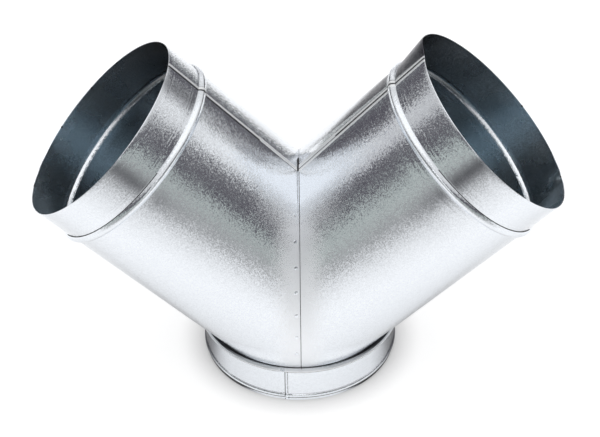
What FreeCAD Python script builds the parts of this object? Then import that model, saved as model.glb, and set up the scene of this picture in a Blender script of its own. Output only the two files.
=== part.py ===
import FreeCAD, Part
import math
import os

V = FreeCAD.Vector
ORIGIN = V(0, 0, 0)
UP = V(0, 0, 1)
FRONT = -90.0  # degrees about the upright axis

# Driving dimensions, mm and degrees. The two legs and the collar enter round ducts of one nominal bore.
DUCT_BORE = 200.0  # inside diameter of the ducts that are pushed on
LEG_FIT = 0.5  # all round between such a duct and a leg's spigot
COLLAR_FIT = 0.7  # all round between such a duct and the crown of the collar's bead
SHEET = 0.6  # galvanised sheet
LEG_TILT = 45.0  # between a leg's axis and the upright axis
CROSSING_RISE = 38.0  # from the legs' seat on the collar up to where their axes cross
LEG_REACH = 264.5  # from that crossing along a leg's axis to its mouth
SPIGOT = 37.5  # straight spigot between the mouth and the stop bead
BEAD_WIDTH = 7.6  # stop bead of a leg
BEAD_RISE = 3.4
COLLAR_HEIGHT = 41.1  # from the bottom rim to the underside of the collar's flange
RIM_LIP = 3.4  # straight lip under the collar's bead
RIM_BEAD_WIDTH = 5.0  # the collar's bead
RIM_BEAD_RISE = 1.1
RIM_BEAD_LAND = 1.4  # flat crown of that bead
FOLD_LAP = 3.4  # flat return of the fold that locks the legs' flanges to the collar's
FOLD_ROOT = 1.3  # between the edge of that return and the wall of a leg
FOOT_INSET = 2.1  # the legs' formed foot is this much smaller in radius than the collar
FOOT_BLEND = 22.0  # height over which the tube is formed to the round foot
MITRE_LAP = 9.0  # right leg's flange under the left leg's edge
JOGGLE = 2.0  # width of the step into that flange
LEG_SEAM = 5.0  # width of a leg's lengthwise lap seam
LEG_SEAM_TURN = 3.2  # the seam's middle, from the top of the leg towards the front
LEG_SEAM_RISE = 0.25  # the lap is rolled nearly flat
COLLAR_SEAM = 8.0  # width of the collar's lap seam, which is pressed flat where the bead is rolled
COLLAR_SEAM_TURN = 8.7  # the lap's open edge, from the front towards the left
COLLAR_SEAM_RISE = 0.3
CLEARANCE = 0.05  # between sheets that lie on each other

LEG_R = DUCT_BORE / 2 - LEG_FIT
COLLAR_R = DUCT_BORE / 2 - COLLAR_FIT - RIM_BEAD_RISE
TILT = math.radians(LEG_TILT)
FOOT_R = COLLAR_R - FOOT_INSET
SEAT_Z = COLLAR_HEIGHT + SHEET + CLEARANCE
BLEND_Z = SEAT_Z + FOOT_BLEND
CROSSING_UP = SEAT_Z + CROSSING_RISE
FOLD_R = SHEET * 1.5 + CLEARANCE
FOLD_AT = FOOT_R + (2 * SHEET + CLEARANCE) * math.tan(TILT) + FOLD_ROOT + FOLD_LAP
BIG = 3 * (LEG_REACH + LEG_R)
LOW = -1.5 * LEG_R


def fold_points(r, z, radius, start, turn, facets):
    """Points of a rolled bend about (r, z), as facets that turn from a start angle."""
    angles = [start + turn * i / facets for i in range(facets + 1)]
    return [(r + radius * math.cos(a), z + radius * math.sin(a)) for a in angles]


def bead_points(r, start, width, rise, land):
    """Points of a swaged bead on a wall of radius r: flanks with shoulders up to a crest, or to a flat land."""
    end = start + width
    if land:
        flank = (width - land) / 2
        return [(r, start), (r + rise, start + flank), (r + rise, end - flank), (r, end)]
    shoulder = r + 0.78 * rise
    crest = (r + rise, start + 0.5 * width)
    return [(r, start), (shoulder, start + 0.29 * width), crest, (shoulder, end - 0.29 * width), (r, end)]


def offset(path, depth):
    """The path of radius and height moved by a depth to its left, with mitred corners."""
    normals = []
    for (r0, z0), (r1, z1) in zip(path, path[1:]):
        length = math.hypot(r1 - r0, z1 - z0)
        normals.append(((z0 - z1) / length, (r1 - r0) / length))
    before = [normals[0]] + normals
    after = normals + [normals[-1]]
    out = []
    for (r, z), a, b in zip(path, before, after):
        share = depth / (1 + a[0] * b[0] + a[1] * b[1])
        out.append(V(r + share * (a[0] + b[0]), 0, z + share * (a[1] + b[1])))
    return out


def sheet_face(path, low, high):
    """The section of a sheet between two depths below its outer line, in the plane of radius and height."""
    outer = offset(path, low)
    inner = offset(path, high)
    return Part.Face(Part.makePolygon(outer + inner[::-1] + outer[:1]))


def turned(face, start=0.0, angle=360.0):
    """The face turned about the upright axis, from start degrees on."""
    shape = face.copy()
    shape.rotate(ORIGIN, UP, start)
    return shape.revolve(ORIGIN, UP, angle)


def onto_left_leg(shape):
    """From an upright tube standing on the crossing point to the left leg's place."""
    shape.rotate(ORIGIN, V(0, 1, 0), -LEG_TILT)
    shape.translate(V(0, 0, CROSSING_UP))
    return shape


def slab(x0, x1, z0):
    """Everything between two upright planes and above a height."""
    return Part.makeBox(x1 - x0, 2 * BIG, BIG, V(x0, -BIG, z0))


def leg_path():
    """Outer line of a leg's tube from below the mitre to the mouth."""
    bead_start = LEG_REACH - SPIGOT - BEAD_WIDTH
    path = [(LEG_R, LOW)]
    path += bead_points(LEG_R, bead_start, BEAD_WIDTH, BEAD_RISE, 0)
    path.append((LEG_R, LEG_REACH))
    return path


def tube_radius(turn, z, r):
    """Distance from the upright axis to the left leg's wall of radius r, at a height and a turn from the front."""
    s = math.sin(turn)
    c = math.cos(turn)
    drop = (CROSSING_UP - z) * math.sin(TILT)
    lean = s * math.cos(TILT)
    a = lean * lean + c * c
    b = lean * drop
    return (math.sqrt(b * b - a * (drop * drop - r * r)) - b) / a


def foot_solid(depth, below):
    """The formed foot of the left leg as a full body, its skin at a depth under the sheet's outer face.

    It runs from the round seat, or the given amount below it, up to where the tube's own form begins.
    """
    heights = [SEAT_Z, BLEND_Z]
    if below:
        heights.insert(0, SEAT_Z - below)
    sections = []
    for z in heights:
        pts = []
        for k in range(-1, 18):
            turn = math.pi * k / 16
            r = tube_radius(turn, z, LEG_R - depth)
            if z < BLEND_Z:
                r += FOOT_R - tube_radius(turn, SEAT_Z, LEG_R)
            pts.append(V(-r * math.sin(turn), -r * math.cos(turn), z))
        curve = Part.BSplineCurve()
        curve.interpolate(pts)
        sections.append(Part.Wire([curve.toShape(), Part.makeLine(pts[-1], pts[0])]))
    return Part.makeLoft(sections, True, True)


def leg(gap):
    """The left leg up to a gap from the mitre plane: rolled tube, stop bead, lap seam, formed foot and flange."""
    path = leg_path()
    tube = onto_left_leg(turned(sheet_face(path, 0, SHEET)))
    width = math.degrees(LEG_SEAM / LEG_R)
    strip = turned(sheet_face(path, -LEG_SEAM_RISE, SHEET / 2), -LEG_SEAM_TURN - width / 2, width)
    tube = tube.fuse(onto_left_leg(strip)).common(slab(-BIG, -gap, BLEND_Z))
    flange = Part.makeCylinder(FOLD_AT - SHEET / 2, SHEET, V(0, 0, SEAT_Z))
    foot = foot_solid(0, 0).fuse(flange).common(slab(-BIG, -gap, SEAT_Z - SHEET))
    foot = foot.cut(foot_solid(SHEET, 2 * SHEET))
    return tube.fuse([foot], 0.001).removeSplitter()


def ring_on_left_axis(outer, inner):
    """A plain tube on the left leg's axis, long enough to pass the mitre on both sides."""
    length = LEG_REACH - SPIGOT - LOW
    tube = Part.makeCylinder(outer, length, V(0, 0, LOW))
    return onto_left_leg(tube.cut(Part.makeCylinder(inner, length, V(0, 0, LOW))))


def mirrored(shape):
    return shape.mirror(ORIGIN, V(1, 0, 0))


def right_leg():
    """The right leg: the left one mirrored, with a stepped flange that goes under the left leg's edge."""
    inner = LEG_R - 2 * SHEET - CLEARANCE
    lap_z = BLEND_Z + JOGGLE
    flange = ring_on_left_axis(inner + SHEET, inner).common(slab(-MITRE_LAP, 0, lap_z))
    step = mirrored(ring_on_left_axis(LEG_R - SHEET / 2, inner)).common(slab(0, JOGGLE, lap_z))
    return mirrored(leg(0)).fuse([step, flange]).removeSplitter()


def base_collar():
    """The base collar: rolled band with a bead at its rim, and a flange folded over the legs' flanges."""
    rim = [(COLLAR_R, 0)]
    rim += bead_points(COLLAR_R, RIM_LIP, RIM_BEAD_WIDTH, RIM_BEAD_RISE, RIM_BEAD_LAND)
    upper = [rim[-1], (COLLAR_R, COLLAR_HEIGHT)]
    upper += fold_points(FOLD_AT, COLLAR_HEIGHT + FOLD_R, FOLD_R, -math.pi / 2, math.pi, 3)
    upper.append((FOLD_AT - FOLD_LAP, COLLAR_HEIGHT + 2 * FOLD_R))
    band = turned(sheet_face(rim[:-1] + upper, 0, SHEET))
    width = math.degrees(COLLAR_SEAM / COLLAR_R)
    lap = sheet_face(upper, -COLLAR_SEAM_RISE, SHEET / 2)
    return band.fuse(turned(lap, FRONT - COLLAR_SEAM_TURN, width)).removeSplitter()


pieces = {"left_leg": leg(CLEARANCE), "right_leg": right_leg(), "base_collar": base_collar()}

os.makedirs("parts", exist_ok=True)
for name, shape in pieces.items():
    shape.Solids[0].exportStep(os.path.join("parts", name + ".step"))
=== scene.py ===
import math

import bmesh
import bpy
from mathutils import Matrix, Vector


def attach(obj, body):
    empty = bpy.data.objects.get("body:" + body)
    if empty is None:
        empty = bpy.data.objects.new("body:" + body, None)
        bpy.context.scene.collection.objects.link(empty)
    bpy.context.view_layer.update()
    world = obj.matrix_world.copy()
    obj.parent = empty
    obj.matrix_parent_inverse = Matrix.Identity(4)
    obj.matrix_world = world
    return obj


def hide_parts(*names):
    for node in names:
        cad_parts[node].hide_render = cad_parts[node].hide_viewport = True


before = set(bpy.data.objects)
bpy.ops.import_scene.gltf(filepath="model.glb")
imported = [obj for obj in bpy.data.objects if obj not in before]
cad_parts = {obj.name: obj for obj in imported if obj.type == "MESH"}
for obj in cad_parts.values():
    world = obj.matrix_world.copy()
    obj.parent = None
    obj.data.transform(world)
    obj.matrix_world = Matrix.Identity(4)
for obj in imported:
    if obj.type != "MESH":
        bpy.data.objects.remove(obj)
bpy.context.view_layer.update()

MM = 0.001

# Sizes of the branch in mm and degrees, as in the part's drawing. A turn on a leg is from its top to the front.
LEG_R = 99.5
SHEET = 0.6
LEG_TILT = 45.0
LEG_REACH = 264.5
SPIGOT = 37.5
BEAD_WIDTH = 7.6
BEAD_RISE = 3.38
COLLAR_R = 98.2
COLLAR_HEIGHT = 41.1
RIM_LIP = 3.4
RIM_BEAD_WIDTH = 5.0
RIM_BEAD_RISE = 1.4
SEAT_Z = 41.75
CROSSING_UP = 79.75
FOOT_R = 96.1
FOOT_BLEND = 22.0
FOLD_AT = 102.05
FOLD_R = 0.81
FOLD_LAP = 3.4
LAYER = 0.65  # one sheet and the gap under it
ROUND_STEPS = 288
TOUCH = 0.001  # closer than this, or than this turn, is the same place
TOUCH_TURN = 0.01

# Line of a leg's tube.
SEAM_DARK_FROM = 150.0  # nearer the crotch a seam shows only its first column of painted shade
LEG_STATIONS = [-150, -60, -30, -12, 0, 12, 24, 36, 48, 60, 72, 86, 100, 140, SEAM_DARK_FROM, 170, 195, 210]
SPIGOT_STATION = 2.4
SPIGOT_STATIONS = 15
BEAD_FULLNESS = 0.85
BEAD_EASE = 0.8  # run-out of a stop bead at each side
BEAD_STEPS = 18
RIM_BEAD_STEPS = 13
ROLL_LINE = 0.35  # half the width of a line left by the rolls, and the room that it needs
ROLL_LINE_ROOM = 1.0
MOUTH_EDGE = ((4.0, 0.0), (2.8, 0.03), (1.5, 0.12), (0.6, 0.22), (0.2, 0.3), (0.0, 0.5))  # distance back, and drop
MOUTH_EDGE_FROM = 4.2
# Lines left by the rolls: distance from the mouth and rise, in mm.
LEFT_ROLL_LINES = ((7.5, -0.05), (29.5, 0.04), (32.0, 0.04))
RIGHT_ROLL_LINES = ((24.5, 0.025), (30.0, 0.03), (33.2, 0.035), (49.5, 0.03), (54.0, 0.025))

# Foot of the legs and its flange.
FOOT_RINGS = 16
FLANGE_BEND = (0.1, 0.2)  # the bend into the flange, out and up
FLANGE_CLEAR = 0.3  # room between the flange and the bend of the fold
FOOT_GAP = 1.1  # part of the flange next to the foot that is painted dark as shade
FLANGE_TOP = 0.15
FOOT_SHADE = (4.0, 1.0)  # heights over the seat where the foot's painted shade begins and is in full

# Mitre and crotch.
MITRE_GAP = 0.05
MITRE_LAP = 9.0  # tongue of the right leg under the left one
MITRE_EDGE = 0.6  # edge of the left leg over the right one
MITRE_STEP = 0.6
TONGUE_EASE = 8.0  # height over the foot in which the tongue goes under
MITRE_HIGHLIGHT = 31.0  # how far from the mitre zinc is painted pale in flecks as a highlight, and made matt, and where it is all over
MITRE_HIGHLIGHT_FULL = 6.0
HIGHLIGHT_TURNS = (24.0, 42.0)
CROTCH_LINE = 0.9  # painted shade in the gap where the leg seams meet, and the turns where it starts and ends
CROTCH_START = -6.5
CROTCH_END = 6.0
# Spot welds through the edge of the left leg, as y and z.
WELDS = ((-54.4, 200.9), (-71.1, 181.8), (-83.4, 160.0), (-92.0, 136.4), (-97.4, 111.9), (-99.5, 85.3),
         (-98.5, 63.1))
WELD_X = -3.1
WELD_R = 2.1
WELD_RISE = 0.45
WELD_SINK = 0.1

# Lap seams of the legs: turn at the mouth, how far they run to the front, width, shares where a layer starts and
# columns painted dark as shade.
LEFT_SEAM = (1.8, 2.8, 6.2, (0.0,), (0, 1, 2, 11))
RIGHT_SEAM = (-1.8, 4.9, 10.4, (0.0, 0.375), (4, 5, 11))
SEAM_COLUMNS = 12
SEAM_SKEW_LENGTH = 130.0
SEAM_RISE = 0.5
SEAM_STEP = 0.2  # share of a layer's width in which it steps up
SEAM_PROUD = 0.05
SEAM_SHEET = 0.6 * SHEET

# Wear of the mouths and beads, and light and shade painted on them.
FLARE = 6.3  # the right mouth is bent open behind its seam, from this place on and between these turns
FLARE_FROM = 228.0
FLARE_NEAR = (-4.0, -24.0)
FLARE_FAR = (-95.0, -25.0)
# Dents by the mouths: place along the leg, turn, depth, width in degrees, length.
LEFT_DENTS = ((263.0, -168.0, 1.0, 3.2, 4.5), (258.0, -173.0, 1.0, 3.0, 4.5), (253.0, -178.0, 0.9, 3.0, 4.5),
              (248.0, 177.0, 0.8, 3.0, 4.5), (243.5, 172.0, 0.6, 3.0, 4.5), (263.0, -153.0, 0.8, 5.0, 8.0))
RIGHT_DENTS = ((258.0, -176.5, 2.6, 3.2, 8.0), (262.0, -163.0, 0.9, 5.0, 8.0))
# Small nicks in the edges of the mouths, painted dark as shade, as turns.
LEFT_NICKS = (-134.3, -105.5, -83.2, -178.7)
RIGHT_NICKS = (-123.5, -176.4)
NICK_WIDTH = 0.7
NICK_DEPTH = 1.6
GROOVE_BRIGHT = -92.0  # turns where the far side of the bead's groove begins to get a painted highlight and has it in full
GROOVE_BRIGHTEST = -122.0
GROOVE_BOTTOM = 140.0
GROOVE_DULL_SHARE = 0.95  # share of the groove's width that is painted dull above, and how much of it is painted bright below
GROOVE_SHINE_SHARE = 0.43
# Edges of a bead's groove: their width, and the share of the inside's painted shade that they keep.
GROOVE_EDGE = 0.4
GROOVE_EDGE_SHADE = 0.35
# Painted shade under a bead, on its mouth side: its reach and the turns between which it lies.
BEAD_SHADE = 0.6
BEAD_SHADE_TURNS = (60.0, 145.0)

# Painted shade and streaks on the legs.
BEAD_CLEAR = 1.0  # a bead and this much beside it are not painted darker on the outside
LEFT_LEAST_SHADED = -143.0  # turn of the stretch inside each leg with the least painted shade
RIGHT_LEAST_SHADED = -126.0
# Painted shade inside the legs: turn from the least shaded stretch, towards the top, and its strength.
INSIDE_SHADE = ((-75, 0.0), (-54, 0.12), (-38, 0.08), (-24, 0.18), (-8, 0.0), (6, 0.05), (21, 0.48), (37, 0.73),
                (52, 0.77), (67, 0.85), (82, 0.93), (110, 0.93), (150, 0.0))
# Dull dark streaks along the legs: turn, width in degrees, strength, and where they begin and are in full, along the
# leg.
LEFT_STREAKS = ((71.0, 5.0, 0.7, 180.0, 240.0), (15.5, 5.5, 0.5, 218.0, 226.0))
RIGHT_STREAKS = ((71.0, 5.0, 0.8, 165.0, 240.0),)
# Painted dark reflection behind the right leg's seam: turn where it is near the crotch, how far it spreads on the way
# to the mouth, soft edge, and the turn up to which it goes.
SEAM_SHADE = (-6.0, 28.0, 12.0, -4.0)
SEAM_SHADE_SPREAD = (100.0, 250.0)
SIDE_TURNS = (18.0, 43.0)  # turns round the collar where its sides begin and are reached

# Collar band.
COLLAR_SEAM_TURN = 8.7
COLLAR_LAP = 8.0
COLLAR_LIFT = 0.3
COLLAR_LIFT_HEIGHTS = (38.0, 30.0)  # the lap is pressed flat from the first height up
COLLAR_BEND = 0.9
COLLAR_FLANGE = 2.2
LIP_STATIONS = (0.001, 0.45, 0.9, 1.35, 1.8, 2.25, RIM_LIP - 0.7)
WALL_STATIONS = (RIM_LIP + RIM_BEAD_WIDTH + 0.25, 12, 18, 25, 32, 37)
FOLD_SHARES = (0.1, 0.3, 0.5, 1.0)
SEAM_EASE_STEPS = 12
SEAM_CREASE = 0.5  # turn of the painted shade line beside the lap's edge
CREASE_TOP = COLLAR_HEIGHT - 1.0
CREASE_SEARCH = 350.0  # the crease lies in the end of the band, past this turn
RIM_UNDER_SHADE = (RIM_LIP - 0.7, RIM_LIP + 0.8)  # heights of the painted shade line under the rim bead
RIM_SHADE = 0.3  # painted shade line over the rim bead
LIP_SHADE_FROM = 0.4  # the lip's painted shade reaches lower towards the sides: side share at the rim, and less per mm up
LIP_SHADE = (1.15, 0.3)
# Painted shade on the collar's fold and painted dark reflections on its lip and wall, towards the sides: turns and
# radii on the fold, top of the lip, and turns and strength on the wall.
FOLD_SHADE_TURNS = (28.0, 52.0)
FOLD_SHADE = (FOLD_AT - 1.1, FOLD_AT - 1.7)
LIP_SHADE_TOP = RIM_LIP + 1.5
WALL_SHADE_TURNS = (44.0, 78.0)
WALL_SHADE = 0.95
# Stitch welds beside the seam's edge: number, first height, spacing, turn, radius and rise.
STITCHES = (16, 9.5, 1.8, 1.25, 0.55, 0.2)
# Knot of crumpled metal at the rim: turn, height and radius of its lumps.
KNOT = ((-0.6, 3.0, 1.3), (0.9, 4.6, 1.5), (1.8, 2.2, 1.0))
KNOT_OUT = 0.3
KNOT_RISE = 1.1

# Finishes: cells per metre of the zinc's grains, spangle, flecks of the painted highlight and clouds, and of the
# mottle in the dark finish of painted shade.
GRAINS = 1300.0
SPANGLE = 230.0
FLECKS = 3700.0
CLOUDS = 28.0
MOTTLE = 260.0
MOTTLE_DARK = 0.4
DARK_METAL = 0.3
SPANGLE_LEAN = 0.06  # lean of the spangle, as a share of the grains' lean
SOFT_EDGE = math.radians(40)  # a sharper edge isn't shaded smooth

# Studio, in metres and shares of white.
FLOOR_R = 9.0
FLOOR_DEPTH = (-2.5, 3.5)
FLOOR_BEHIND = (2.2, 1.2)  # behind the branch the floor stays white in a fan: its slope and its start
# Tones of the floor by depth, a painted pool of light: white near the branch and grey far away.
FLOOR_POOL_TONES = ((0.0, 0.33), (0.06, 0.34), (0.165, 0.28), (0.21, 0.28), (0.25, 0.4), (0.285, 0.53), (0.313, 0.68),
               (0.345, 0.86), (0.375, 1.0), (0.65, 1.0), (0.8, 0.6), (0.98, 0.3))
FLOOR_LIGHT = 0.72  # share of the floor's tone that it shows by itself, in the picture and in the metal
FLOOR_PALE = (0.5, 0.5, 0.5, 1)
CONTACT_SHADE = 0.03
# Painted oval shadow under the branch that only reflections see: the scale of its oval and its tones.
UNDER_BRANCH = (1 / 1.1, 1 / 0.19, 0)
UNDER_TONES = ((0.0, 0.3), (0.16, 0.42), (0.25, 0.74), (0.38, 0.84), (0.5, 0.9), (0.62, 0.94), (0.8, 0.985),
               (1.0, 1.0))
ROOM_UP = (0.05, 0.1, 1)
ROOM_TONES = ((0.0, 0.6), (0.47, (0.54, 0.585, 0.56)), (0.525, (0.46, 0.5, 0.48)), (0.55, (0.35, 0.38, 0.37)),
              (0.58, (0.1, 0.09, 0.11)), (0.64, (0.08, 0.072, 0.09)), (0.68, (0.14, 0.14, 0.15)), (0.715, 0.52),
              (0.8, 0.76), (0.95, 0.88))
# Soft boxes: name, place, size, radiance and aim.
SOFT_BOXES = (("overhead", (0, 0.1, 2.3), (2.4, 2.4), 0.3, (0, 0, 0)),
              ("front_box", (0, -1.9, 0.9), (0.6, 1.3), 0.85, (0, 0, 0.1)),
              ("back_box", (0, 2.0, 0.65), (0.9, 1.2), 0.6, (0, 0, 0.2)),
              ("side_box", (-1.7, 0.06, 0.95), (0.85, 0.5), 0.49, (0, 0, 0.22)),
              ("side_box", (1.7, 0.06, 0.95), (0.85, 0.5), 0.49, (0, 0, 0.22)))
# Camera: its turn, height and roll in degrees, and its aim and distance in mm.
CAMERA_TURN = 0.0176
CAMERA_HEIGHT = 38.4716
CAMERA_ROLL = -0.6609
CAMERA_AIM = Vector((1.36, 0, 153.42))
CAMERA_BACK = 1500.55
CAMERA_LENS = 91.112

TILT = math.radians(LEG_TILT)
BLEND_Z = SEAT_Z + FOOT_BLEND
BEAD_START = LEG_REACH - SPIGOT - BEAD_WIDTH
BEAD_MIDDLE = LEG_REACH - SPIGOT - BEAD_WIDTH / 2
FOLD_MIDDLE = COLLAR_HEIGHT + FOLD_R
LAP_TURN = math.degrees(COLLAR_LAP / COLLAR_R)
EASE_TURN = 2.2 * LAP_TURN
UNDER_TURN = 1.2 * LAP_TURN
UPRIGHT = Vector((0, 0, 1))
CROSSING = Vector((0, 0, CROSSING_UP))
LEFT_AXIS = Vector((-math.sin(TILT), 0, math.cos(TILT)))
LEFT_TOP = Vector((math.cos(TILT), 0, math.sin(TILT)))
FRONT = Vector((0, -1, 0))
ONTO_LEG = Matrix.Translation(CROSSING) @ Matrix.Rotation(-TILT, 4, "Y")

# The third finish is painted shade in gaps, creases and under edges, and also the dark of the stitch welds; the fourth
# is zinc painted pale as a highlight.
OUTSIDE, INSIDE, SHADE_AND_WELDS, PAINTED_HIGHLIGHT = range(4)


def fade(x, start, full):
    """From 0 at the start to 1 where it is full, in a smooth run."""
    share = min(max((x - start) / (full - start), 0.0), 1.0)
    return share * share * (3 - 2 * share)


def turn_between(a, b):
    return (a - b + 180) % 360 - 180


def bead(r, start, width, rise, steps):
    """Points of a round swaged bead on a wall of radius r."""
    shares = [i / steps for i in range(steps + 1)]
    return [(r + rise * math.sin(math.pi * s) ** BEAD_FULLNESS, start + width * s) for s in shares]


def bend(r, z, radius, start, turn, steps):
    """Points of a rolled bend about (r, z)."""
    angles = [math.radians(start + turn * i / steps) for i in range(steps + 1)]
    return [(r + radius * math.cos(a), z + radius * math.sin(a)) for a in angles]


def spun(bm, path, start=0.0, angle=360.0, steps=ROUND_STEPS, closed=True):
    """Spins a line of radius and height about the upright axis. Returns its vertices and faces."""
    old_verts, old_faces = set(bm.verts), set(bm.faces)
    turn = Matrix.Rotation(math.radians(start), 4, "Z")
    line = [bm.verts.new(turn @ Vector((r, 0, z))) for r, z in path]
    edges = [bm.edges.new(pair) for pair in zip(line, line[1:])]
    bmesh.ops.spin(bm, geom=line + edges, cent=(0, 0, 0), axis=UPRIGHT, dvec=(0, 0, 0),
                   angle=math.radians(angle), steps=steps, use_merge=closed)
    return [v for v in bm.verts if v not in old_verts], [f for f in bm.faces if f not in old_faces]


def with_edges(faces):
    verts = {v for f in faces for v in f.verts}
    edges = {e for f in faces for e in f.edges}
    return list(verts) + list(edges) + list(faces)


def cut(bm, place, normal, faces=None, keep_both=False):
    """Cuts faces at a plane and drops what lies on the normal's side, unless both sides are kept."""
    bmesh.ops.bisect_plane(bm, geom=with_edges(faces or bm.faces[:]), dist=TOUCH / 10, plane_co=place,
                           plane_no=normal, clear_outer=not keep_both)


def extruded(bm, edges, move):
    """Extrudes open edges by a step."""
    made = bmesh.ops.extrude_edge_only(bm, edges=edges)["geom"]
    bmesh.ops.translate(bm, vec=move, verts=[g for g in made if isinstance(g, bmesh.types.BMVert)])


def from_leg_axis(point):
    """Way out from the left leg's axis."""
    local = point - CROSSING
    return local - local.dot(LEFT_AXIS) * LEFT_AXIS


def from_upright(point):
    return Vector((point.x, point.y, 0))


def place_on_leg(point):
    """Distance along the left leg, and turn from its top towards the front."""
    out = from_leg_axis(point)
    return (point - CROSSING).dot(LEFT_AXIS), math.degrees(math.atan2(out.dot(FRONT), out.dot(LEFT_TOP)))


def side_turn(point):
    """Turn about the upright axis: 0 at the front and back of the branch, 90 at its sides."""
    return math.degrees(math.atan2(abs(point.x), abs(point.y)))


def side_share(point):
    """From 0 at the front and back of the branch to 1 at its sides, under the legs."""
    return fade(side_turn(point), *SIDE_TURNS)


def outward(bm, faces, way_out):
    """Turns the faces so that they look away from an axis."""
    bmesh.ops.recalc_face_normals(bm, faces=faces)
    largest = max(faces, key=lambda f: f.calc_area())
    if largest.normal.dot(way_out(largest.calc_center_median())) < 0:
        bmesh.ops.reverse_faces(bm, faces=faces)


def give_thickness(bm, faces, depth):
    """Gives a skin its sheet's thickness, with the inner side marked."""
    for f in bmesh.ops.solidify(bm, geom=faces, thickness=depth)["geom"]:
        if isinstance(f, bmesh.types.BMFace):
            f.material_index = INSIDE


def dome(bm, place, normal, radius, height, around=16, up=8):
    """A low closed dome that stands in a surface."""
    spin = UPRIGHT.rotation_difference(normal).to_matrix().to_4x4()
    flat = Matrix.Diagonal((1, 1, height / radius, 1))
    made = bmesh.ops.create_uvsphere(bm, u_segments=around, v_segments=up, radius=radius,
                                     matrix=Matrix.Translation(place) @ spin @ flat)
    return {f for v in made["verts"] for f in v.link_faces}


def leg_path(roll_lines):
    """Outer line of a leg's tube from below the mitre to the rounded edge of its mouth."""
    marks = [LEG_REACH - back for back, rise in roll_lines]
    plain = LEG_STATIONS + [LEG_REACH - SPIGOT + SPIGOT_STATION * i for i in range(1, SPIGOT_STATIONS)]
    path = [(LEG_R, a) for a in plain if all(abs(a - m) > ROLL_LINE_ROOM for m in marks)]
    for mark, (back, rise) in zip(marks, roll_lines):
        path += [(LEG_R, mark - ROLL_LINE), (LEG_R + rise, mark), (LEG_R, mark + ROLL_LINE)]
    path += bead(LEG_R, BEAD_START - BEAD_EASE, BEAD_WIDTH + 2 * BEAD_EASE, BEAD_RISE, BEAD_STEPS)
    path.sort(key=lambda point: point[1])
    path = [point for point in path if point[1] < LEG_REACH - MOUTH_EDGE_FROM]
    return path + [(LEG_R - drop, LEG_REACH - back) for back, drop in MOUTH_EDGE]


def tube_radius(turn, z):
    """Distance from the upright axis to the left leg's wall, at a height and a turn from the front."""
    drop = (CROSSING_UP - z) * math.sin(TILT)
    lean = math.sin(turn) * math.cos(TILT)
    a = lean * lean + math.cos(turn) ** 2
    b = lean * drop
    return (math.sqrt(b * b - a * (drop * drop - LEG_R * LEG_R)) - b) / a


def draw_foot(bm):
    """Draws the lower edge of the left skin down to the round seat and out to its flange."""
    ring = [e for e in bm.edges if all(abs(v.co.z - BLEND_Z) < TOUCH for v in e.verts)]
    out_bend, up_bend = FLANGE_BEND
    low = SEAT_Z + SHEET
    shares = [i / FOOT_RINGS for i in range(1, FOOT_RINGS + 1)]
    stations = [(BLEND_Z - (BLEND_Z - low - up_bend) * share, share, None) for share in shares]
    stations += [(low, 1, out) for out in (out_bend, FOOT_GAP, FOLD_AT - FLANGE_CLEAR - FOOT_R)]
    for z, share, out in stations:
        made = bmesh.ops.extrude_edge_only(bm, edges=ring)["geom"]
        ring = [g for g in made if isinstance(g, bmesh.types.BMEdge)]
        for v in (g for g in made if isinstance(g, bmesh.types.BMVert)):
            turn = math.atan2(-v.co.x, -v.co.y)
            r = tube_radius(turn, z) + fade(share, 0, 1) * (FOOT_R - tube_radius(turn, SEAT_Z))
            if out is not None:
                r = FOOT_R + out
            v.co = (-r * math.sin(turn), -r * math.cos(turn), z)


def press(verts, dents):
    """Presses shallow dents in the left skin."""
    for v in verts:
        along, turn = place_on_leg(v.co)
        for a, t, depth, wide, high in dents:
            share = math.exp(-(turn_between(turn, t) / wide) ** 2 - ((along - a) / high) ** 2)
            v.co -= from_leg_axis(v.co).normalized() * depth * share


def leg_skin(bm, roll_lines, dents):
    """The left leg's outer skin, cut at the mitre, with its formed foot."""
    verts = spun(bm, leg_path(roll_lines))[0]
    bmesh.ops.transform(bm, matrix=ONTO_LEG, verts=verts)
    press(verts, dents)
    cut(bm, (-MITRE_GAP, 0, 0), (1, 0, 0))
    cut(bm, (0, 0, BLEND_Z), (0, 0, -1))
    draw_foot(bm)


def flare_mouth(bm):
    """Opens the mouth of the left skin outwards behind its seam, where it has been bent."""
    for v in bm.verts:
        along, turn = place_on_leg(v.co)
        share = max(along - FLARE_FROM, 0) / (LEG_REACH - FLARE_FROM)
        share *= fade(turn, *FLARE_NEAR) * fade(turn, *FLARE_FAR)
        v.co += from_leg_axis(v.co).normalized() * FLARE * share


def mitre_edge(bm):
    """Open edge of the left skin along the mitre, above the foot."""
    return [e for e in bm.edges if e.is_boundary
            and all(v.co.x > -MITRE_GAP - TOUCH and v.co.z > BLEND_Z - TOUCH for v in e.verts)]


def paint_flange_shade(bm):
    """The flange next to the foot, where the fold ends, is painted dark as shade."""
    for f in bm.faces:
        centre = f.calc_center_median()
        if centre.z < SEAT_Z + SHEET + FLANGE_TOP and from_upright(centre).length < FOOT_R + FOOT_GAP:
            f.material_index = SHADE_AND_WELDS


def groove_shine(turn):
    """Share of the painted highlight in a bead's groove: from 0 in the upper part to 1 in the lower part."""
    return 1.0 if turn > GROOVE_BOTTOM else fade(turn, GROOVE_BRIGHT, GROOVE_BRIGHTEST)


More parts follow.
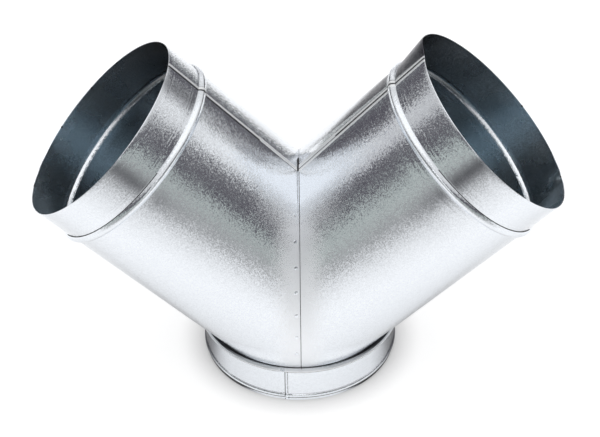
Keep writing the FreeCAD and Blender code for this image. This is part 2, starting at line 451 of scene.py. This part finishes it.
def paint_bead_light_and_shade(bm):
    """The far side of the bead's groove is painted bright in its lower part as a highlight, and shade is painted under
    the bead.
    """
    first, last = BEAD_SHADE_TURNS
    for f in bm.faces:
        along, turn = place_on_leg(f.calc_center_median())
        past = LEG_REACH - along - SPIGOT
        if f.material_index == INSIDE:
            dull_share = GROOVE_DULL_SHARE - GROOVE_SHINE_SHARE * groove_shine(turn)
            if dull_share * BEAD_WIDTH < past < BEAD_WIDTH + BEAD_EASE:
                f.material_index = OUTSIDE
        elif -BEAD_EASE < past < BEAD_SHADE - BEAD_EASE and first < turn < last:
            f.material_index = SHADE_AND_WELDS


def nick_mouth(bm, nicks):
    """Paints small nicks in the edge of the left leg's mouth dark, as shade."""
    for f in bm.faces:
        along, turn = place_on_leg(f.calc_center_median())
        if along > LEG_REACH - NICK_DEPTH and any(abs(turn_between(turn, t)) < NICK_WIDTH for t in nicks):
            f.material_index = SHADE_AND_WELDS


def seam_height(share, starts):
    """Height of a lap seam at a share of its width: each layer steps up in front and slopes down behind."""
    first = max(start for start in starts if start <= share + TOUCH)
    last = min([start for start in starts if start > first] + [1.0])
    t = (share - first) / (last - first)
    return SEAM_PROUD + SEAM_RISE * max(min(t / SEAM_STEP, (1 - t) / (1 - SEAM_STEP)), 0.0)


def leg_seam(bm, roll_lines, seam):
    """The lengthwise lap seam of the left leg: a strip with stepped layers, painted shade in its crevices and a
    painted pale highlight on the rest.
    """
    at_mouth, skew, wide, starts, dark_columns = seam
    width = math.degrees(wide / LEG_R)
    start = -at_mouth - width / 2
    verts, faces = spun(bm, leg_path(roll_lines), start, width, SEAM_COLUMNS, closed=False)

    def across(point):
        return (math.degrees(math.atan2(point.y, point.x)) - start) / width

    for f in faces:
        centre = f.calc_center_median()
        column = int(across(centre) * SEAM_COLUMNS)
        # Columns of painted shade in the crevices; the rest of the strip is zinc painted pale as a highlight.
        dark = column == dark_columns[0] or column in dark_columns and centre.z > SEAM_DARK_FROM
        f.material_index = SHADE_AND_WELDS if dark else PAINTED_HIGHLIGHT
    for v in verts:
        v.co += from_upright(v.co).normalized() * seam_height(across(v.co), starts)
        v.co.rotate(Matrix.Rotation(-math.radians(skew) * (LEG_REACH - v.co.z) / SEAM_SKEW_LENGTH, 3, "Z"))
    bmesh.ops.transform(bm, matrix=ONTO_LEG, verts=verts)
    others = set(bm.faces) - set(faces)
    cut(bm, (-CROTCH_LINE, 0, 0), (1, 0, 0), faces)
    strip = [f for f in bm.faces if f not in others]
    outward(bm, strip, from_leg_axis)
    give_thickness(bm, strip, SEAM_SHEET)


def weld_spots(bm):
    """Spot welds through the left leg's edge, low domes in the sheet."""
    for y, z in WELDS:
        place = Vector((WELD_X, y, z))
        normal = from_leg_axis(place).normalized()
        along = place_on_leg(place)[0]
        dome(bm, CROSSING + along * LEFT_AXIS + normal * (LEG_R - WELD_SINK), normal, WELD_R, WELD_RISE)


def inside_shade(from_least_shaded):
    """Strength of the painted shade inside a leg, by the turn from its least shaded stretch."""
    for (first, low), (last, high) in zip(INSIDE_SHADE, INSIDE_SHADE[1:]):
        if first <= from_least_shaded < last:
            return low + (high - low) * (from_least_shaded - first) / (last - first)
    return 0.0


def paint_leg_shade_and_streaks(bm, least_shaded_turn, streaks, behind_seam):
    """Marks where a leg's zinc is painted darker: shade inside and at its foot, dark streaks and, on one leg, a dark
    reflection behind the seam.
    """
    painted_shade_and_streaks = bm.verts.layers.float.new("painted_shade_and_streaks")
    inner = {v for f in bm.faces if f.material_index == INSIDE for v in f.verts}
    by_seam, spread, soft, seam_edge = SEAM_SHADE
    for v in bm.verts:
        along, turn = place_on_leg(v.co)
        from_middle = abs(BEAD_MIDDLE - along)
        on_bead = from_middle < BEAD_WIDTH / 2 + BEAD_CLEAR
        if v in inner:
            deep = 1.0
            if on_bead:
                edge = abs(from_middle - BEAD_WIDTH / 2) < GROOVE_EDGE
                deep = (GROOVE_EDGE_SHADE if edge else 1.0) * (1 - groove_shine(turn))
            v[painted_shade_and_streaks] = deep * inside_shade(turn_between(turn, least_shaded_turn))
        elif v.co.z < SEAT_Z + FOOT_SHADE[0]:
            v[painted_shade_and_streaks] = side_share(v.co) * fade(v.co.z - SEAT_Z, *FOOT_SHADE)
        elif behind_seam and turn < seam_edge and along > 0 and not on_bead:
            start = by_seam - spread * fade(along, *SEAM_SHADE_SPREAD)
            v[painted_shade_and_streaks] = fade(turn, start, start + soft)
        elif not on_bead:
            for at, wide, strength, start, full in streaks:
                v[painted_shade_and_streaks] += strength * fade(along, start, full) * math.exp(-((turn - at) / wide) ** 2)


def paint_mitre_highlight(bm):
    """Marks where the left leg's zinc is painted pale in flecks as a highlight, and made matt, along the mitre."""
    painted_highlight = bm.verts.layers.float.new("painted_highlight")
    for v in bm.verts:
        turn = place_on_leg(v.co)[1]
        v[painted_highlight] = fade(abs(turn), *HIGHLIGHT_TURNS) * fade(-v.co.x, MITRE_HIGHLIGHT, MITRE_HIGHLIGHT_FULL)


def finish_piece(name, bm, cad_node):
    """Makes a smooth-shaded object of the mesh, in metres, that stands for its CAD node."""
    for f in bm.faces:
        f.smooth = True
    for e in bm.edges:
        e.smooth = e.calc_face_angle(0.0) < SOFT_EDGE
    bmesh.ops.scale(bm, vec=(MM, MM, MM), verts=bm.verts)
    mesh = bpy.data.meshes.new(name)
    bm.to_mesh(mesh)
    bm.free()
    for material in finishes:
        mesh.materials.append(material)
    piece = bpy.data.objects.new(name, mesh)
    bpy.context.scene.collection.objects.link(piece)
    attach(piece, "root")
    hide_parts(cad_node)


def left_leg():
    bm = bmesh.new()
    leg_skin(bm, LEFT_ROLL_LINES, LEFT_DENTS)
    extruded(bm, mitre_edge(bm), (MITRE_EDGE, 0, MITRE_EDGE))
    cut(bm, (-CROTCH_LINE, 0, 0), (1, 0, 0), keep_both=True)
    outward(bm, bm.faces[:], from_leg_axis)
    paint_flange_shade(bm)
    # Painted shade: a dark line in the gap where the leg seams meet at the crotch.
    for f in bm.faces:
        centre = f.calc_center_median()
        turn = place_on_leg(centre)[1]
        if centre.x > -CROTCH_LINE and centre.z > BLEND_Z and CROTCH_START < turn < CROTCH_END:
            f.material_index = SHADE_AND_WELDS
    give_thickness(bm, bm.faces[:], SHEET)
    paint_leg_shade_and_streaks(bm, LEFT_LEAST_SHADED, LEFT_STREAKS, behind_seam=False)
    paint_mitre_highlight(bm)
    paint_bead_light_and_shade(bm)
    nick_mouth(bm, LEFT_NICKS)
    leg_seam(bm, LEFT_ROLL_LINES, LEFT_SEAM)
    weld_spots(bm)
    finish_piece("left_leg_sheet", bm, "left_leg")


def right_leg():
    """Made as a left leg with a stepped edge that goes under the other one, then mirrored."""
    bm = bmesh.new()
    leg_skin(bm, RIGHT_ROLL_LINES, RIGHT_DENTS)
    flare_mouth(bm)
    extruded(bm, mitre_edge(bm), (MITRE_LAP, 0, MITRE_LAP))
    for x in (MITRE_EDGE, MITRE_EDGE + MITRE_STEP):
        cut(bm, (-x, 0, 0), (1, 0, 0), keep_both=True)
    outward(bm, bm.faces[:], from_leg_axis)
    paint_flange_shade(bm)
    # Painted shade: a dark line on the step where the tongue goes under the left leg's edge.
    for f in bm.faces:
        centre = f.calc_center_median()
        if MITRE_EDGE < -centre.x < MITRE_EDGE + MITRE_STEP and place_on_leg(centre)[1] > CROTCH_START:
            f.material_index = SHADE_AND_WELDS
    for v in bm.verts:
        if v.co.x > -MITRE_EDGE - TOUCH and v.co.z > BLEND_Z:
            v.co -= from_leg_axis(v.co).normalized() * LAYER * fade(v.co.z, BLEND_Z, BLEND_Z + TONGUE_EASE)
    give_thickness(bm, bm.faces[:], SHEET)
    paint_leg_shade_and_streaks(bm, RIGHT_LEAST_SHADED, RIGHT_STREAKS, behind_seam=True)
    paint_mitre_highlight(bm)
    paint_bead_light_and_shade(bm)
    nick_mouth(bm, RIGHT_NICKS)
    leg_seam(bm, RIGHT_ROLL_LINES, RIGHT_SEAM)
    bmesh.ops.scale(bm, vec=(-1, 1, 1), verts=bm.verts)
    bmesh.ops.reverse_faces(bm, faces=bm.faces)
    finish_piece("right_leg_sheet", bm, "right_leg")


def collar_path():
    """Outer line of the collar from its rim up to the edge of its fold."""
    path = [(COLLAR_R, z) for z in LIP_STATIONS]
    path += bead(COLLAR_R, RIM_LIP, RIM_BEAD_WIDTH, RIM_BEAD_RISE, RIM_BEAD_STEPS)
    path += [(COLLAR_R, z) for z in WALL_STATIONS]
    path += bend(COLLAR_R + COLLAR_BEND, COLLAR_HEIGHT - COLLAR_BEND, COLLAR_BEND, 180, -90, 5)
    path += [(COLLAR_R + COLLAR_FLANGE, COLLAR_HEIGHT)]
    path += bend(FOLD_AT, FOLD_MIDDLE, FOLD_R, -90, 180, 12)
    return path + [(FOLD_AT - FOLD_LAP * share, COLLAR_HEIGHT + 2 * FOLD_R) for share in FOLD_SHARES]


def round_collar(degrees, r, z):
    """A point on the collar, by its turn from the seam's edge."""
    turn = math.radians(degrees - 90 - COLLAR_SEAM_TURN)
    return Vector((r * math.cos(turn), r * math.sin(turn), z))


def past_seam(point):
    """Turn of a point from the collar seam's edge, from 0 to 360 degrees."""
    return (math.degrees(math.atan2(point.y, point.x)) + 90 + COLLAR_SEAM_TURN) % 360


def along_band(point):
    """Turn of a point along the band from where the lap has run out, past 360 degrees under the lap."""
    turn = past_seam(point)
    return turn + 360 if turn < EASE_TURN - TOUCH_TURN else turn


def collar_lift(z):
    """How far the lap's upper layer stands off at a height."""
    return COLLAR_LIFT * fade(z, *COLLAR_LIFT_HEIGHTS)


def crease_band(bm, band_faces):
    """Paints a dark line of shade beside the lap's edge on the end of the band that lies under it."""
    end = [f for f in band_faces if CREASE_SEARCH < along_band(f.calc_center_median())]
    others = set(bm.faces) - set(end)
    for turn in (360 - SEAM_CREASE, 360):
        side = round_collar(turn + 90, 1, 0)
        cut(bm, (0, 0, 0), side, [f for f in bm.faces if f not in others], keep_both=True)
    for f in bm.faces:
        centre = f.calc_center_median()
        if f not in others and 360 - SEAM_CREASE < along_band(centre) < 360 and centre.z < CREASE_TOP:
            f.material_index = SHADE_AND_WELDS


def mark_collar(bm):
    """Paints shade as dark lines at the rim, on the lip towards the sides and under the fold, and a pale highlight on
    the fold's top.
    """
    low, high = RIM_UNDER_SHADE
    at_rim, per_mm = LIP_SHADE
    for f in bm.faces:
        centre = f.calc_center_median()
        z = centre.z
        under_fold = z < FOLD_MIDDLE and from_upright(centre).length > FOLD_AT
        shaded_lip = LIP_SHADE_FROM < z < high and side_share(centre) > at_rim - per_mm * z
        if under_fold or shaded_lip or low < z < high or 0 < z - RIM_LIP - RIM_BEAD_WIDTH < RIM_SHADE:
            f.material_index = SHADE_AND_WELDS
        elif z > FOLD_MIDDLE:
            f.material_index = PAINTED_HIGHLIGHT


def lap_collar(bm, over):
    """Lifts the outer end of the band and presses its inner end under it."""
    bm.normal_update()
    over = {v for v in over if v.is_valid}
    steps = []
    for v in bm.verts:
        lift = collar_lift(v.co.z)
        if v in over:
            step = lift * fade(past_seam(v.co), EASE_TURN, LAP_TURN)
        else:
            step = (lift - LAYER) * fade(along_band(v.co), 360 - UNDER_TURN, 360)
        steps.append((v, v.normal * step))
    for v, step in steps:
        v.co += step


def paint_collar_shade(bm):
    """Marks where the collar's zinc is painted darker: shade on its fold, and dark reflections at its rim and on its
    wall, all towards the sides.
    """
    painted_shade_and_streaks = bm.verts.layers.float.new("painted_shade_and_streaks")
    for v in bm.verts:
        turn = side_turn(v.co)
        if v.co.z > FOLD_MIDDLE:
            v[painted_shade_and_streaks] = fade(turn, *FOLD_SHADE_TURNS) * fade(from_upright(v.co).length, *FOLD_SHADE)
        elif v.co.z < LIP_SHADE_TOP:
            v[painted_shade_and_streaks] = side_share(v.co)
        else:
            v[painted_shade_and_streaks] = WALL_SHADE * fade(turn, *WALL_SHADE_TURNS)


def stitches(bm):
    """Stitch welds beside the collar seam's edge, and a knot of crumpled metal at the rim."""
    number, first, spacing, turn, radius, rise = STITCHES
    for i in range(number):
        z = first + spacing * i
        place = round_collar(turn, COLLAR_R + collar_lift(z), z)
        for f in dome(bm, place, from_upright(place).normalized(), radius, rise, 8, 4):
            f.material_index = SHADE_AND_WELDS
    for turn, z, radius in KNOT:
        place = round_collar(turn, COLLAR_R + KNOT_OUT, z)
        dome(bm, place, from_upright(place).normalized(), radius, KNOT_RISE, 12, 6)


def base_collar():
    """The collar band, rolled up with its outer end lapped over its inner end."""
    bm = bmesh.new()
    start = -90 - COLLAR_SEAM_TURN
    over = spun(bm, collar_path(), start, EASE_TURN, SEAM_EASE_STEPS, closed=False)[0]
    band_faces = spun(bm, collar_path(), start + EASE_TURN, 360 + LAP_TURN - EASE_TURN, closed=False)[1]
    crease_band(bm, band_faces)
    joint = [v for v in bm.verts if abs(past_seam(v.co) - EASE_TURN) < TOUCH_TURN]
    bmesh.ops.remove_doubles(bm, verts=joint, dist=TOUCH)
    outward(bm, bm.faces[:], from_upright)
    mark_collar(bm)
    lap_collar(bm, over)
    give_thickness(bm, bm.faces[:], SHEET)
    paint_collar_shade(bm)
    stitches(bm)
    finish_piece("base_collar_band", bm, "base_collar")


def connect(tree, socket, value):
    """Links a socket to another one, or sets it to a number or colour."""
    if isinstance(value, bpy.types.NodeSocket):
        tree.links.new(value, socket)
    else:
        socket.default_value = value


def node(tree, kind, inputs=None, **settings):
    """A shader node with its settings and its inputs, each a socket, a number or a colour."""
    made = tree.nodes.new("ShaderNode" + kind)
    for key, value in settings.items():
        setattr(made, key, value)
    for key, value in (inputs or {}).items():
        connect(tree, made.inputs[key], value)
    return made


def sums(tree, operation, *inputs):
    """Result of a sum on sockets and numbers."""
    return node(tree, "Math", dict(enumerate(inputs)), operation=operation).outputs[0]


def colour_mix(tree, share, first, second, blend="MIX"):
    return node(tree, "Mix", {0: share, 6: first, 7: second}, data_type="RGBA", blend_type=blend).outputs[2]


def ramp(tree, value, marks):
    """A colour ramp with a grey or a colour at each place."""
    made = node(tree, "ValToRGB", {0: value})
    elements = made.color_ramp.elements
    while len(elements) < len(marks):
        elements.new(0.5)
    for element, (at, tone) in zip(elements, marks):
        element.position = at
        element.color = (*(tone if isinstance(tone, tuple) else (tone,) * 3), 1)
    return made.outputs[0]


def leaning(tree, normal, colour, amount):
    """A normal that leans by a random colour."""
    lean = node(tree, "VectorMath", {0: colour, 1: (0.5, 0.5, 0.5)}, operation="SUBTRACT").outputs[0]
    share = node(tree, "VectorMath", {0: lean, "Scale": amount}, operation="SCALE").outputs[0]
    return node(tree, "VectorMath", {0: normal, 1: share}, operation="ADD").outputs[0]


def new_material(name):
    material = bpy.data.materials.new(name)
    material.use_nodes = True
    return material, material.node_tree


def zinc(name, dark, light, rough, tilt, shade_and_streaks, painted_highlight):
    """Galvanised sheet: small zinc grains that each lean a little, on a broader faint spangle.

    Rough gives the lowest and highest roughness. The last two arguments give the colour, and the roughness that is
    added, where the zinc is painted darker as shade and in streaks, and where it is painted pale in flecks as a
    highlight.
    """
    material, tree = new_material(name)
    shader = tree.nodes["Principled BSDF"]
    shader.inputs["Metallic"].default_value = 1.0
    place = node(tree, "TexCoord").outputs["Object"]
    grains, spangle, flecks = [node(tree, "TexVoronoi", {"Vector": place, "Scale": scale}).outputs["Color"]
                               for scale in (GRAINS, SPANGLE, FLECKS)]
    cloud = node(tree, "TexNoise", {"Vector": place, "Scale": CLOUDS, "Detail": 4.0}).outputs["Fac"]
    painted_shade_and_streaks, highlight_share = [node(tree, "Attribute", attribute_name=mark).outputs["Fac"] for mark in ("painted_shade_and_streaks", "painted_highlight")]
    # Flecks painted pale as a highlight, as dense as the attribute is strong.
    highlight_flecks = sums(tree, "GREATER_THAN", highlight_share, node(tree, "SeparateColor", {0: flecks}).outputs[0])

    normal = node(tree, "NewGeometry").outputs["Normal"]
    normal = leaning(tree, normal, grains, tilt)
    normal = leaning(tree, normal, spangle, tilt * SPANGLE_LEAN)
    unit = node(tree, "VectorMath", {0: normal}, operation="NORMALIZE").outputs[0]
    connect(tree, shader.inputs["Normal"], unit)

    shade_colour, shade_rough = shade_and_streaks
    highlight_colour, highlight_rough = painted_highlight
    tone = node(tree, "SeparateColor", {0: grains}).outputs[0]
    colour = colour_mix(tree, tone, (*dark, 1), (*light, 1))
    # Painted highlight flecks, then the painted shade and dark streaks multiplied in.
    colour = colour_mix(tree, highlight_flecks, colour, (*highlight_colour, 1))
    colour = colour_mix(tree, painted_shade_and_streaks, colour, (*shade_colour, 1), "MULTIPLY")
    connect(tree, shader.inputs["Base Color"], colour)

    roughness = node(tree, "MapRange", {"Value": cloud, "From Min": 0.3, "From Max": 0.7, "To Min": rough[0],
                                        "To Max": rough[1]}).outputs["Result"]
    roughness = sums(tree, "MULTIPLY_ADD", painted_shade_and_streaks, shade_rough, roughness)
    roughness = sums(tree, "MULTIPLY_ADD", highlight_flecks, highlight_rough, roughness)
    connect(tree, shader.inputs["Roughness"], roughness)
    return material


def dark_mottled(name, colour, roughness):
    """Dark metal for painted shade in gaps, creases and under edges, and for the dark stitch welds, mottled a little.
    """
    material, tree = new_material(name)
    shader = tree.nodes["Principled BSDF"]
    shader.inputs["Metallic"].default_value = DARK_METAL
    shader.inputs["Roughness"].default_value = roughness
    place = node(tree, "TexCoord").outputs["Object"]
    mottle = node(tree, "TexNoise", {"Vector": place, "Scale": MOTTLE, "Detail": 3.0}).outputs["Fac"]
    tone = ramp(tree, mottle, ((0.3, tuple(c * MOTTLE_DARK for c in colour)), (0.7, colour)))
    connect(tree, shader.inputs["Base Color"], tone)
    return material


def pale_floor():
    """Matt floor with a painted pool of light: it goes grey far in front and, to both sides, far behind; it keeps the
    shadow of the branch, and reflections see a painted oval shadow under the branch.
    """
    material, tree = new_material("pale_floor")
    tree.nodes.remove(tree.nodes["Principled BSDF"])
    place = node(tree, "TexCoord").outputs["Object"]
    parts = node(tree, "SeparateXYZ", {0: place}).outputs
    behind = sums(tree, "MULTIPLY_ADD", sums(tree, "ABSOLUTE", parts["X"]), *FLOOR_BEHIND)
    depth = sums(tree, "MINIMUM", parts["Y"], behind)
    reach = node(tree, "MapRange", {"Value": depth, "From Min": FLOOR_DEPTH[0], "From Max": FLOOR_DEPTH[1]})
    tone = ramp(tree, reach.outputs[0], FLOOR_POOL_TONES)
    matt = node(tree, "BsdfDiffuse", {"Color": colour_mix(tree, 1.0, tone, FLOOR_PALE, "MULTIPLY")})

    rays = node(tree, "LightPath").outputs
    seen = rays["Is Camera Ray"]
    for kind in ("Is Glossy Ray", "Is Transmission Ray"):
        seen = sums(tree, "MAXIMUM", seen, rays[kind])
    near = node(tree, "AmbientOcclusion", {"Distance": CONTACT_SHADE}).outputs["AO"]
    # Painted oval shadow under the branch for glossy rays; camera rays get the contact shade instead.
    oval = node(tree, "VectorMath", {0: place, 1: UNDER_BRANCH}, operation="MULTIPLY").outputs[0]
    from_middle = node(tree, "VectorMath", {0: oval}, operation="LENGTH").outputs["Value"]
    under = ramp(tree, from_middle, UNDER_TONES)
    shade = node(tree, "Mix", {0: rays["Is Camera Ray"], 2: under, 3: near}, data_type="FLOAT").outputs[0]
    strength = sums(tree, "MULTIPLY", sums(tree, "MULTIPLY", seen, FLOOR_LIGHT), shade)
    glow = node(tree, "Emission", {"Color": tone, "Strength": strength})
    both = node(tree, "AddShader", {0: matt.outputs[0], 1: glow.outputs[0]})
    connect(tree, tree.nodes["Material Output"].inputs["Surface"], both.outputs[0])
    return material


def floor():
    bm = bmesh.new()
    bmesh.ops.create_circle(bm, cap_ends=True, segments=96, radius=FLOOR_R)
    mesh = bpy.data.meshes.new("floor")
    bm.to_mesh(mesh)
    bm.free()
    mesh.materials.append(pale_floor())
    obj = bpy.data.objects.new("floor", mesh)
    bpy.context.scene.collection.objects.link(obj)


def studio():
    """Room around the branch: bright ceiling, darker walls, a light strip at the horizon and soft boxes."""
    world = bpy.data.worlds.new("studio")
    bpy.context.scene.world = world
    world.use_nodes = True
    tree = world.node_tree
    way = node(tree, "TexCoord").outputs["Generated"]
    rise = node(tree, "VectorMath", {0: way, 1: ROOM_UP}, operation="DOT_PRODUCT").outputs["Value"]
    reach = node(tree, "MapRange", {"Value": rise, "From Min": -1.0}).outputs[0]
    connect(tree, tree.nodes["Background"].inputs["Color"], ramp(tree, reach, ROOM_TONES))
    for box in SOFT_BOXES:
        soft_box(*box)


def soft_box(name, place, size, radiance, aim):
    lamp = bpy.data.lights.new(name, "AREA")
    lamp.shape = "RECTANGLE"
    lamp.size, lamp.size_y = size
    lamp.energy = radiance * math.pi * size[0] * size[1]
    obj = bpy.data.objects.new(name, lamp)
    bpy.context.scene.collection.objects.link(obj)
    obj.location = place
    obj.rotation_euler = (Vector(aim) - Vector(place)).to_track_quat("-Z", "Y").to_euler()
    obj.visible_camera = False


def camera():
    data = bpy.data.cameras.new("camera")
    data.sensor_width = 36.0
    data.lens = CAMERA_LENS
    data.clip_end = 100.0
    obj = bpy.data.objects.new("camera", data)
    bpy.context.scene.collection.objects.link(obj)
    turn = (Matrix.Rotation(math.radians(CAMERA_TURN), 4, "Z")
            @ Matrix.Rotation(math.radians(90 - CAMERA_HEIGHT), 4, "X")
            @ Matrix.Rotation(math.radians(CAMERA_ROLL), 4, "Z"))
    back = turn.to_3x3() @ UPRIGHT
    obj.matrix_world = Matrix.Translation(CAMERA_AIM * MM + back * CAMERA_BACK * MM) @ turn
    bpy.context.scene.camera = obj


# Finishes in the order of the outside, the inside, painted shade (also the dark stitch welds) and zinc painted pale as
# a highlight.
finishes = (
    zinc("zinc_outside", dark=(0.77, 0.8, 0.84), light=(0.86, 0.89, 0.93), rough=(0.15, 0.21), tilt=0.13,
         shade_and_streaks=((0.13, 0.125, 0.14), 0.1), painted_highlight=((0.93, 0.945, 0.97), 0.42)),
    zinc("zinc_inside", dark=(0.55, 0.64, 0.7), light=(0.75, 0.875, 0.96), rough=(0.24, 0.32), tilt=0.15,
         shade_and_streaks=((0.17, 0.125, 0.11), 0.0), painted_highlight=((0.65, 0.75, 0.83), 0.0)),
    dark_mottled("painted_shade_and_welds", (0.06, 0.06, 0.065), 0.6),
    zinc("zinc_painted_highlight", dark=(0.9, 0.92, 0.94), light=(0.95, 0.96, 0.97), rough=(0.5, 0.56), tilt=0.05,
         shade_and_streaks=((0.1, 0.1, 0.11), 0.1), painted_highlight=((0.95, 0.96, 0.97), 0.0)),
)

left_leg()
right_leg()
base_collar()
floor()
studio()
camera()

bpy.context.scene.view_settings.view_transform = "Standard"
